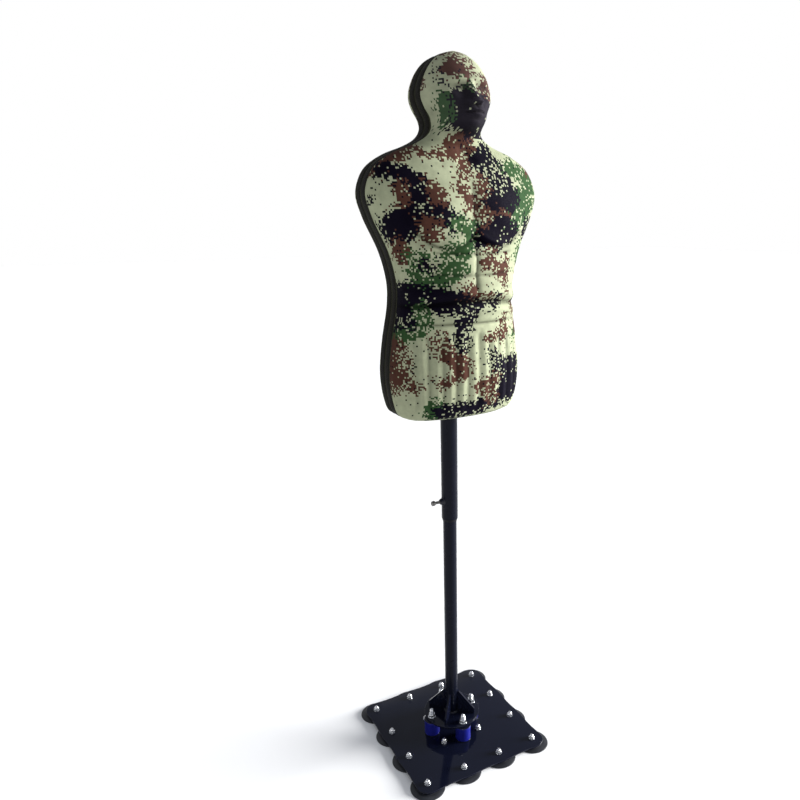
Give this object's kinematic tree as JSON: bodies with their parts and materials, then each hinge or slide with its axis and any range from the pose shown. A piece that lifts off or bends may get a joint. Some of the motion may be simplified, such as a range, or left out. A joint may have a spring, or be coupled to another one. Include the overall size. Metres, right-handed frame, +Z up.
{
  "type": "body opponent mannequin",
  "caption": "Free-standing padded head and torso for striking practice, on a telescopic steel mast that rocks on elastomer dampers over a plate held to the floor by suction cups.",
  "frame": {"origin": "centre of the square base, on the floor under the suction cups' lips", "axes": "+Z up along the mast, -Y the way the mannequin faces, +X to the right of someone who looks at its front"},
  "size_m": [0.46, 0.46, 1.844],
  "materials": {
    "black_paint": "gloss",
    "black_rubber": "satin",
    "blue_elastomer": "satin",
    "bright_plating": "polished",
    "black_plastic": "satin",
    "pad_brass": "satin",
    "camouflage_cover": "matte",
    "dark_cover": "matte",
    "foam": "matte",
    "raw_steel": "satin"
  },
  "bodies": {
    "base": {"base_plate": "black_paint", "suction_cup_01": "black_rubber", "suction_cup_02": "black_rubber", "suction_cup_03": "black_rubber", "suction_cup_04": "black_rubber", "suction_cup_05": "black_rubber", "suction_cup_06": "black_rubber", "suction_cup_07": "black_rubber", "suction_cup_08": "black_rubber", "suction_cup_09": "black_rubber", "suction_cup_10": "black_rubber", "suction_cup_11": "black_rubber", "suction_cup_12": "black_rubber", "suction_cup_13": "black_rubber", "suction_cup_14": "black_rubber", "suction_cup_15": "black_rubber", "suction_cup_16": "black_rubber", "cup_nut_01": "bright_plating", "cup_nut_02": "bright_plating", "cup_nut_03": "bright_plating", "cup_nut_04": "bright_plating", "cup_nut_05": "bright_plating", "cup_nut_06": "bright_plating", "cup_nut_07": "bright_plating", "cup_nut_08": "bright_plating", "cup_nut_09": "bright_plating", "cup_nut_10": "bright_plating", "cup_nut_11": "bright_plating", "cup_nut_12": "bright_plating", "cup_nut_13": "bright_plating", "cup_nut_14": "bright_plating", "cup_nut_15": "bright_plating", "cup_nut_16": "bright_plating", "damper_front": "blue_elastomer", "damper_rear": "blue_elastomer"},
    "side_rock": {"damper_left": "blue_elastomer", "damper_right": "blue_elastomer"},
    "stand": {"flange_plate": "black_paint", "gusset_1": "black_paint", "gusset_2": "black_paint", "gusset_3": "black_paint", "gusset_4": "black_paint", "lower_tube": "black_paint", "damper_nut_front": "bright_plating", "damper_nut_rear": "bright_plating", "damper_nut_left": "bright_plating", "damper_nut_right": "bright_plating"},
    "slide_bush": {"guide_bush": "black_plastic"},
    "opponent": {"upper_tube": "black_paint", "tube_top_cap": "black_plastic", "clamp_boss": "black_paint", "front_cushion": "camouflage_cover", "rear_cushion": "camouflage_cover", "front_band": "dark_cover", "rear_band": "dark_cover", "foam_core": "foam", "shoulder_bar": "raw_steel", "hip_bar": "raw_steel"},
    "clamp_pad": {"clamp_pad": "pad_brass"},
    "clamp_screw": {"clamp_screw": "bright_plating"}
  },
  "joints": [
    {"name": "rock_fore_aft", "type": "hinge", "parent": "base", "child": "side_rock", "pos_m": [0, 0, 0.04], "axis": [1, 0, 0], "range_deg": [-6, 6], "stiffness_Nm_per_rad": 2600, "deforming": ["damper_front", "damper_rear"]},
    {"name": "rock_sideways", "type": "hinge", "parent": "side_rock", "child": "stand", "pos_m": [0, 0, 0.04], "axis": [0, 1, 0], "range_deg": [-6, 6], "stiffness_Nm_per_rad": 2600, "deforming": ["damper_left", "damper_right"]},
    {"name": "height_slide", "type": "slide", "parent": "stand", "child": "slide_bush", "axis": [0, 0, 1], "range_m": [-0.25, 0.05]},
    {"name": "mast_turn", "type": "hinge", "parent": "slide_bush", "child": "opponent", "pos_m": [0, 0, 0.729], "axis": [0, 0, 1], "continuous": true},
    {"name": "clamp_travel", "type": "slide", "parent": "opponent", "child": "clamp_pad", "axis": [-1, 0, 0], "range_m": [0, 0.00375]},
    {"name": "clamp_turn", "type": "hinge", "parent": "clamp_pad", "child": "clamp_screw", "pos_m": [-0.031, 0, 0.781], "axis": [-1, 0, 0], "range_deg": [0, 1080]}
  ],
  "couplings": [
    {"joint": "clamp_turn", "follows": "clamp_travel", "rad_per_m": 5026.5}
  ]
}
